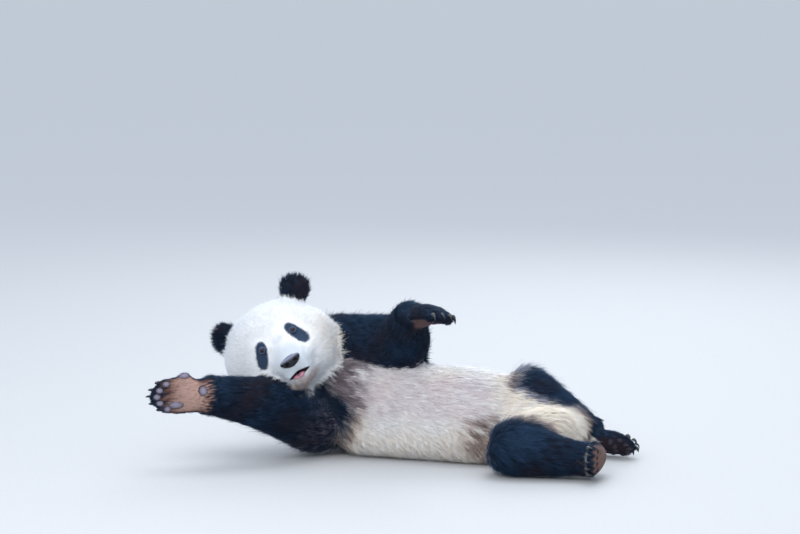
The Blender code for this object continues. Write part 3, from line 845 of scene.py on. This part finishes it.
def sculpted_skin():
    """The skin: fused, smoothed, made finer, drawn in by the coat's depth, and shaped."""
    skin = fused_flesh()
    mesh = skin.data
    points = mesh_arrays(mesh)[0]
    owners = nearest_nodes(points)
    edges = edges_of(mesh)
    fine = distance(in_head(points), NOSE_IN_HEAD) < 0.1
    fine |= owned_by(owners, "forepaw", "hindpaw", "ear")
    points = spread(points, edges, 6)
    points = spread(points, edges, 24, np.where(fine, 0.1, 0.9))
    seams = owned_by(owners, "thigh", "rump", "belly", "chest")
    points = spread(points, edges, 40, np.where(seams, 0.9, 0.0))
    move_to(mesh, points)
    refine(mesh)

    points, normals, _ = mesh_arrays(mesh)
    owners = nearest_nodes(points)
    length, _, lift, _ = coat_fields(points, normals, owners).T
    depth = spread(length * np.sin(lift) * DEPTH_SHARE, edges_of(mesh), 10)
    pads = 0.5 * (pad_share(points, normals, owners) + pad_share(points, normals, owners, dome=True))
    points -= normals * depth[:, None]
    points += normals * (PAD_RISE * pads)[:, None]
    points = with_muzzle(with_lids(points))
    points[:, 2] = np.maximum(points[:, 2], SKIN_CLEARANCE)
    move_to(mesh, points)
    return skin


def with_lids(points):
    """Draws the skin over each eye in lids, and behind the eyeball within their opening."""
    for side in SIDES:
        away = distance(points, EYE[side])
        ray = (points - EYE[side]) / away[:, None]
        reach = lid_reach(points, side)
        weight = ramp(-0.1, 0.25, ray @ GAZE[side]) * ramp(0.0195, 0.012, away)
        lid = EYE_RADIUS + 0.0011 + 0.0007 * ramp(1.7, 1.1, reach)
        radius = mix(lid, EYE_RADIUS - 0.003, ramp(1.1, 0.92, reach))
        radius = np.where(near_eye(points, side), radius, away)
        points = EYE[side] + ray * mix(away, radius, weight)[:, None]
    return points


def with_muzzle(points):
    """Beds the nose, folds the skin between the eyes, lowers the mouth, and shapes its lips."""
    q = in_head(points)
    pad = (q - NOSE_IN_HEAD) / NOSE_HALF
    q[:, 2] -= 0.01 * ramp(0.95, 0.72, np.hypot(pad[:, 0], pad[:, 1])) * (pad[:, 2] > -0.5)
    fold = np.exp(-(((q[:, 1] - EYE_IN_HEAD[1] - 0.001) / 0.006) ** 2))
    fold *= ramp(0.026, 0.01, np.abs(q[:, 0]))
    q[:, 2] -= FOLD_DEPTH * fold * (q[:, 2] > 0.0)
    # the gape narrows towards its corners
    reach = mouth_reach(q, MOUTH_CUT, 0.0)
    aside = held(np.abs(q[:, 0] - MOUTH_CUT[0]) / MOUTH_HALF[0])
    q[:, 1] -= (q[:, 1] - MOUTH_CUT[1]) * (MOUTH_CORNERS * aside * ramp(2.2, 1.0, reach))
    q[:, 1] -= MOUTH_DROP * ramp(2.8, 1.3, reach)
    # the lips roll out, and a groove parts the upper one below the nose
    q[:, 2] += 0.0014 * ramp(1.7, 1.3, reach) * ramp(0.9, 1.15, reach)
    groove = np.exp(-((q[:, 0] / 0.0022) ** 2)) * ramp(-0.066, -0.058, q[:, 1])
    groove *= ramp(-0.04, -0.048, q[:, 1])
    q[:, 2] -= 0.0016 * groove * (q[:, 2] > 0.12)
    return from_head(q)


# -------- coat

# Each coat piece: its nodes, and the record's slot for most of it. The head's is in two, by its frame.
COAT_PIECES = {
    "coat_face": (("head", "lower_jaw"), "white_coat"),
    "coat_crown": (("head", "lower_jaw"), "white_coat"),
    "coat_ears": (("ear",), "black_coat"),
    "coat_chest": (("neck", "chest"), "black_coat"),
    "coat_belly": (("belly",), "white_coat"),
    "coat_rump": (("rump", "tail"), "white_coat"),
}
for limb, parts in LIMBS.items():
    for side in ("right", "left"):
        COAT_PIECES[f"coat_{limb}_{side}"] = (tuple(f"{part}_{side}" for part in parts), "black_coat")
FACE_FRONT = 0.045  # where the face's coat meets the crown's, in front of the head's centre
GUARD_HAIRS = 0.05  # the share of tufts that stand out of the coat
SOFTNESS = (0.92, 0.55)  # how far the shortest and longest tufts are shaded as the skin is
SKIN_SHADE = 0.92  # the skin between the tufts, against their colour


def tuft_mesh(name, roots, normals, lie, length, width, lift, colours, places, draw):
    """Closed tufts of five vertices: a root, a ring of three where it bends, and a tip."""
    count = len(roots)
    side = np.cross(lie, normals)
    rise = lift * draw.uniform(0.7, 1.5, count)
    fall = lift * draw.uniform(0.1, 0.8, count)
    way = lie * np.cos(rise)[:, None] + normals * np.sin(rise)[:, None]
    on = lie * np.cos(fall)[:, None] + normals * np.sin(fall)[:, None]
    bend = roots + way * (length * 0.45)[:, None]
    tip = bend + on * (length * 0.55)[:, None]
    half = side * (width / 2)[:, None]
    crest = normals * (width * 0.45)[:, None]
    points = np.stack((roots, bend + half, bend + crest, bend - half, tip), axis=1)
    points[:, :, 2] = np.maximum(points[:, :, 2], FLOOR_CLEARANCE)
    pattern = np.array(((0, 1, 2), (0, 2, 3), (0, 3, 1), (4, 2, 1), (4, 3, 2), (4, 1, 3)))
    triangles = (np.arange(count) * 5)[:, None, None] + pattern
    mesh = triangle_mesh(name, points.reshape(-1, 3), triangles.reshape(-1, 3))
    # roots are painted darker, as the shade deep in the coat, and tips lighter, the more so in dark fur
    root_shade = 0.55 + 0.34 * ramp(0.1, 0.6, colours.max(axis=1))
    shade = np.stack((root_shade, *[np.ones(count)] * 3, 2.06 - root_shade), axis=1)
    wear_colours(mesh, np.clip(colours[:, None] * shade[:, :, None], 0, 0.95).reshape(-1, 3))
    own = mesh_arrays(mesh)[1]
    soft = np.repeat(mix(*SOFTNESS, ramp(0.005, 0.018, length)), 5)[:, None]
    soft = unit(own * (1 - soft) + np.repeat(normals, 5, axis=0) * soft)
    mesh.normals_split_custom_set_from_vertices(soft)
    corner = np.array(((0.0, -0.5), (0.5, 0.0), (0.0, 0.1), (-0.5, 0.0), (0.0, 0.5))) * PATCH
    uv = places[:, None] + corner
    layer = mesh.uv_layers.new(name="OFBake")
    layer.data.foreach_set("uv", uv[:, pattern].astype(np.float32).ravel())
    return mesh


def unwrapped(name, points, triangles):
    """UV places of these faces' corners, on an unwrap of their own shape that fills the map."""
    used, local = np.unique(triangles, return_inverse=True)
    mesh = triangle_mesh(name, points[used], local.reshape(-1, 3))
    piece = new_object(name, mesh)
    bpy.context.view_layer.objects.active = piece
    piece.select_set(True)
    bpy.ops.object.mode_set(mode="EDIT")
    bpy.ops.mesh.select_all(action="SELECT")
    bpy.ops.uv.smart_project(angle_limit=math.radians(66), island_margin=0.003)
    bpy.ops.object.mode_set(mode="OBJECT")
    uv = read(mesh.uv_layers.active.data, "uv", 2)
    bpy.data.objects.remove(piece)
    low, high = uv.min(axis=0), uv.max(axis=0)
    return (PATCH + (uv - low) / (high - low) * (1 - 2 * PATCH)).reshape(-1, 3, 2)


def blended(values, corners, shares):
    """Values of the skin's points, blended at places within its faces."""
    return (values[corners] * shares).sum(axis=1)


def make_coat(skin):
    """Grows the coat on the skin and colours both. Returns the coat's pieces with their slots."""
    points, normals, triangles = mesh_arrays(skin.data)
    edges = edges_of(skin.data)
    owners = nearest_nodes(points)
    fields = spread(coat_fields(points, normals, owners), edges, 6)
    fields[:, 3] *= 1 - bare_share(points, normals, owners)
    lie = tangent(spread(lie_of_coat(points, normals, owners), edges, 16), normals)
    colours = markings_and_painted_light(points, normals, owners)
    wear_colours(skin.data, colours * SKIN_SHADE)

    face_owner = owners[triangles[:, 0]]
    corners = points[triangles]
    in_front = in_head(corners.mean(axis=1))[:, 2] > FACE_FRONT
    area = np.linalg.norm(np.cross(corners[:, 1] - corners[:, 0], corners[:, 2] - corners[:, 0]), axis=1) / 2
    weight = area * fields[triangles, 3].mean(axis=1)
    pieces = []
    for number, (name, (nodes, slot)) in enumerate(COAT_PIECES.items()):
        draw = np.random.default_rng(100 + number)
        here = owned_by(face_owner, *nodes)
        if name in ("coat_face", "coat_crown"):
            here &= in_front == (name == "coat_face")
        own = np.flatnonzero(here)
        count = min(int(TUFTS * weight[own].sum() / weight.sum()), MOST_TUFTS)
        places = unwrapped(name, points, triangles[own])
        chosen = draw.choice(len(own), count, p=weight[own] / weight[own].sum())
        share = draw.dirichlet((1, 1, 1), count)[:, :, None]
        corner = triangles[own[chosen]]
        root = blended(points, corner, share)
        normal = unit(blended(normals, corner, share))
        flow = tangent(blended(lie, corner, share), normal)
        coat = blended(fields, corner, share)
        guard = draw.random(count) < GUARD_HAIRS
        colour = blended(colours, corner, share) * draw.uniform(0.86, 1.1, (count, 1))
        swing = 0.1 * waves(root, 0.06, 31) + 0.14 * waves(root, 0.015, 32) + draw.normal(0, 0.12, count)
        if slot == "white_coat":
            # the wool low on the flanks curls
            swing += 0.4 * ramp(0.13, 0.05, root[:, 2]) * waves(root, 0.018, 34)
        flow = flow * np.cos(swing)[:, None] + np.cross(normal, flow) * np.sin(swing)[:, None]
        length = coat[:, 0] * draw.uniform(0.7, 1.2, count) * np.where(guard, 1.35, 1.0)
        width = coat[:, 1] * draw.uniform(0.7, 1.3, count) * np.where(guard, 0.7, 1.0)
        lift = coat[:, 2] * (1.0 + 0.22 * waves(root, 0.02, 33)) * np.where(guard, 1.5, 1.0)
        place = (places[chosen] * share).sum(axis=1)
        root -= normal * ROOT_DEPTH
        mesh = tuft_mesh(name, root, normal, flow, length, width, lift, colour, place, draw)
        pieces.append((new_object(name, mesh), slot))
    return pieces


# -------- eyes, nose, tongue and claws

EYE_WHITE = rgb(0.018, 0.017, 0.024)
IRIS = rgb(0.009, 0.007, 0.008)
PUPIL = rgb(0.001, 0.001, 0.001)
LEATHER = rgb(0.009, 0.01, 0.017)
LIT_LEATHER = rgb(0.2, 0.22, 0.32)
# painted shade in the nostrils
NOSTRIL_SHADE = rgb(0.003, 0.003, 0.003)
TONGUE = rgb(0.46, 0.2, 0.25)
# painted shade in the tongue's groove
TONGUE_SHADE = rgb(0.22, 0.09, 0.13)
HORN = rgb(0.92, 0.94, 1.0)

TONGUE_HALF = np.array((0.0185, 0.0062, 0.0265))
CLAW_RINGS, CLAW_SIDES = 12, 12
CLAW_SET = 0.008  # how far a claw reaches back into its digit
CLAW_REACH = {"fore": 0.72, "hind": 0.66}  # the share of each that stands clear of the fur


def ball_mesh(name, detail):
    bm = bmesh.new()
    bmesh.ops.create_icosphere(bm, subdivisions=detail, radius=1.0)
    mesh = mesh_from(bm, name)
    mesh.shade_smooth()
    return mesh


def make_eye(side):
    """An eyeball with its cornea, iris and pupil turned to the eye's gaze."""
    mesh = ball_mesh(f"eyeball_{side}", 5)
    rays = unit(mesh_arrays(mesh)[0])
    angle = np.arccos(np.clip(rays @ GAZE[side], -1, 1))
    bulge = 0.0006 * ramp(0.8, 0.45, angle)
    move_to(mesh, EYE[side] + rays * (EYE_RADIUS - 0.0003 + bulge)[:, None])
    spokes = waves(unit(tangent(rays, GAZE[side][None])), 0.35, 51)
    colour = tinted(EYE_WHITE, IRIS * 0.4, ramp(0.8, 0.64, angle))
    colour = tinted(colour, IRIS, ramp(0.62, 0.54, angle))
    colour *= (1 + 0.3 * spokes * ramp(0.7, 0.55, angle))[:, None]
    colour = tinted(colour, PUPIL, ramp(0.34, 0.28, angle))
    wear_colours(mesh, held(colour))
    return new_object(mesh.name, mesh)


def make_nose():
    """The bare nose pad: a broad top, rounded ends, two nostrils and a parting."""
    mesh = ball_mesh("nose_pad", 6)
    x, y, z = mesh_arrays(mesh)[0].T
    # a bar with rounded ends, wide above and narrow below
    x = np.sign(x) * np.abs(x) ** 0.85 * (1.0 - 0.42 * ramp(0.15, -1.0, y))
    y -= 0.16 * ramp(0.35, 1.0, y)
    y += 0.1 * ramp(0.3, 1.0, np.abs(x))
    place = np.stack((x, y, z), axis=1) * NOSE_HALF
    out, up = place[:, 0] * np.sign(place[:, 0]), place[:, 1]
    front = ramp(0.0, 0.25, z)
    # nostrils: round at the front, with a slit that curls out and down
    hole = np.hypot((out - 0.0135) / 0.0074, (up + 0.002) / 0.0052)
    slit = np.hypot((out - 0.0215) / 0.009, (up + 0.0045 + 30 * (out - 0.0215) ** 2) / 0.0032)
    sunk = 0.0085 * ramp(1.15, -0.35, hole) ** 0.8 + 0.0045 * ramp(1.2, 0.1, slit)
    parting = NOSE_PARTING * np.exp(-((place[:, 0] / 0.0011) ** 2)) * ramp(0.004, -0.004, up)
    place[:, 2] -= (sunk + parting) * front
    grain = waves(place, 0.0026, 61, 24) * 0.00012
    place[:, 2] += grain * front
    move_to(mesh, from_head(NOSE_IN_HEAD + place))
    # the top of the pad is painted paler and bluer, as the sky's reflection on it
    lit = ramp(0.0035, 0.0105, up) * ramp(-0.4, 0.4, z)
    colour = tinted(LEATHER, LIT_LEATHER, lit * 0.85)
    # the nostrils are painted near black, as the shade in them
    colour = tinted(colour, NOSTRIL_SHADE, held(ramp(1.05, 0.6, hole) + ramp(1.0, 0.6, slit)) * front)
    colour = tinted(colour, LIP, ramp(0.5, 0.9, parting / NOSE_PARTING) * 0.6)
    wear_colours(mesh, colour)
    return new_object(mesh.name, mesh)


def make_tongue():
    """The tongue's tip between the lips, with a groove along it."""
    mesh = ball_mesh("tongue_tip", 5)
    p = mesh_arrays(mesh)[0]
    place = p * TONGUE_HALF
    groove = np.exp(-((place[:, 0] / 0.004) ** 2)) * ramp(0.0, 0.5, p[:, 1])
    place[:, 1] -= 0.0018 * groove + 0.0035 * ramp(0.01, 0.026, place[:, 2])
    place[:, 1] += 0.0005 * waves(place, 0.006, 71)
    middle = in_head(centre_of("tongue")) - np.array((0.004, MOUTH_DROP, 0.0))
    move_to(mesh, from_head(middle + place))
    # the groove is painted darker, as shade, and the tongue darkens towards its upper and lower faces
    wear_colours(mesh, tinted(TONGUE, TONGUE_SHADE, groove * 0.6 + 0.2 * p[:, 1] ** 2))
    return new_object(mesh.name, mesh)


def claw_spine(node, paw):
    """A claw's root, set back in its digit, its tip, and its girth, from the points of its node."""
    origin, axes, _ = PAWS[paw]
    cloud = points_of(node)
    along = (cloud - origin) @ axes[2]
    base = cloud[along <= np.quantile(along, 0.35)]
    root = base.mean(axis=0)
    tip = root + (cloud[along.argmax()] - root) * CLAW_REACH[paw[0]]
    girth = float(distance(base, root).mean()) * 0.85
    return root - unit(tip - root) * CLAW_SET, tip, girth


def make_claws(paw):
    """The five claws of a paw, each a tapering horn that hooks towards the sole."""
    sole = PAWS[paw][1][1]
    points, triangles, shades = [], [], []
    for node in claws_of(*paw):
        root, tip, girth = claw_spine(node, paw)
        run = tip - root
        forward = unit(run)
        hook = unit(sole - forward * (sole @ forward))
        across = np.cross(forward, hook)
        start = len(points)
        last = start + (CLAW_RINGS - 1) * CLAW_SIDES
        for ring in range(CLAW_RINGS):
            share = ring / (CLAW_RINGS - 1)
            arch = -hook * math.sin(share * math.pi) * 0.13 * np.linalg.norm(run)
            middle = root + run * share + arch
            radius = girth * (1.0 - share ** 1.6) + 0.0005
            for step in range(CLAW_SIDES):
                turn = math.tau * step / CLAW_SIDES
                points.append(middle + (across * math.cos(turn) * 0.8 + hook * math.sin(turn)) * radius)
                shades.append(mix(0.11, 0.018, share ** 0.7))
        for first in range(start, last, CLAW_SIDES):
            for step in range(CLAW_SIDES):
                a, b = first + step, first + (step + 1) % CLAW_SIDES
                triangles += [(a, b, b + CLAW_SIDES), (a, b + CLAW_SIDES, a + CLAW_SIDES)]
        for step in range(1, CLAW_SIDES - 1):
            triangles += [(start, start + step + 1, start + step), (last, last + step, last + step + 1)]
    points = np.array(points)
    points[:, 2] = np.maximum(points[:, 2], FLOOR_CLEARANCE)
    mesh = triangle_mesh("claws_{}_{}".format(*paw), points, np.array(triangles))
    wear_colours(mesh, np.array(shades)[:, None] * HORN)
    return new_object(mesh.name, mesh)


# -------- studio


def make_floor():
    bm = bmesh.new()
    bmesh.ops.create_circle(bm, cap_ends=True, segments=96, radius=30.0)
    floor = new_object("floor", mesh_from(bm, "floor"))
    material = bpy.data.materials.new("floor")
    material.use_nodes = True
    tree = material.node_tree
    shader = tree.nodes["Principled BSDF"]
    set_inputs(shader, {"Roughness": 0.75})
    noise = noise_bump(tree, shader, 90.0, 0.04, 0.001)
    tone = tree.nodes.new("ShaderNodeValToRGB")
    tone.color_ramp.elements[0].color = (0.5, 0.505, 0.51, 1)
    tone.color_ramp.elements[1].color = (0.55, 0.555, 0.56, 1)
    join(noise, "Fac", tone, "Fac")
    join(tone, "Color", shader, "Base Color")
    floor.data.materials.append(material)


def aimed(name, data, place, target):
    """A lamp or a camera at a place, turned to its target."""
    piece = new_object(name, data)
    piece.location = place
    piece.rotation_euler = (target - piece.location).to_track_quat("-Z", "Y").to_euler()
    return piece


# Each lamp: its place, size, power and colour.
LIGHTS = {
    "key": ((-1.3, -3.6, 2.9), 2.4, 84, (1.0, 0.985, 0.96)),
    "top": ((0.4, 0.3, 4.0), 3.0, 56, (0.96, 0.98, 1.0)),
    "rim": ((1.0, 3.4, 2.6), 2.4, 38, (0.96, 0.98, 1.0)),
}
LAMP_TARGET = Vector((0, 0, 0.2))
AIM_FROM_HEAD = (0.322, -0.1, 0.242)
CAMERA_TILT = math.radians(8)
CAMERA_AWAY = 8.0
FILM_WIDTH = 36.0  # in millimetres, as the lens is
VIEW_WIDTH = 2.2  # in metres, at the body


def make_studio():
    make_floor()
    world = bpy.data.worlds.new("studio")
    world.use_nodes = True
    set_inputs(world.node_tree.nodes["Background"], {"Color": (0.8, 0.88, 1.0, 1), "Strength": 1.15})
    bpy.context.scene.world = world
    for name, (place, size, power, colour) in LIGHTS.items():
        light = bpy.data.lights.new(name, "AREA")
        light.shape = "DISK"
        light.size = size
        light.energy = power
        light.color = colour
        aimed(name, light, Vector(place), LAMP_TARGET)
    aim = Vector(HEAD_CENTRE + np.array(AIM_FROM_HEAD))
    back = Vector((0, -math.cos(CAMERA_TILT), math.sin(CAMERA_TILT))) * CAMERA_AWAY
    camera = aimed("camera", bpy.data.cameras.new("camera"), aim + back, aim)
    camera.data.sensor_width = FILM_WIDTH
    camera.data.lens = FILM_WIDTH * CAMERA_AWAY / VIEW_WIDTH
    camera.data.clip_end = 200
    bpy.context.scene.camera = camera
    bpy.context.scene.view_settings.view_transform = "Standard"


# -------- main


def dress(piece, material, slot, *nodes):
    piece.data.materials.append(material)
    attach(piece, "root")
    if nodes:
        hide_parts(*nodes)


skin = sculpted_skin()
coat = make_coat(skin)
dress(skin, marked_material("skin", 0.66, 0.12, (500.0, 0.5, 0.0006)), "white_coat", *FLESH)
fur = marked_material("fur", 0.62, 0.07, (260.0, 0.0, 0.0001), sheen=0.22, mottle=0.06)
for piece, slot in coat:
    dress(piece, fur, slot)
wet = marked_material("eye", 0.06, 0.15, (900.0, 0.02, 0.0001), coat=0.5, mottle=0.1)
for side in SIDES:
    dress(make_eye(side), wet, "eye", f"eye_{side}")
dress(make_nose(), marked_material("nose", 0.38, 0.28, (700.0, 0.35, 0.0004)), "nose_leather", "nose")
dress(make_tongue(), marked_material("tongue", 0.3, 0.5, (1100.0, 0.4, 0.0003)), "tongue", "tongue")
horn = marked_material("horn", 0.3, 0.16, (350.0, 0.1, 0.0003), mottle=0.25)
for paw in PAWS:
    dress(make_claws(paw), horn, "claw_horn", *claws_of(*paw))

make_studio()
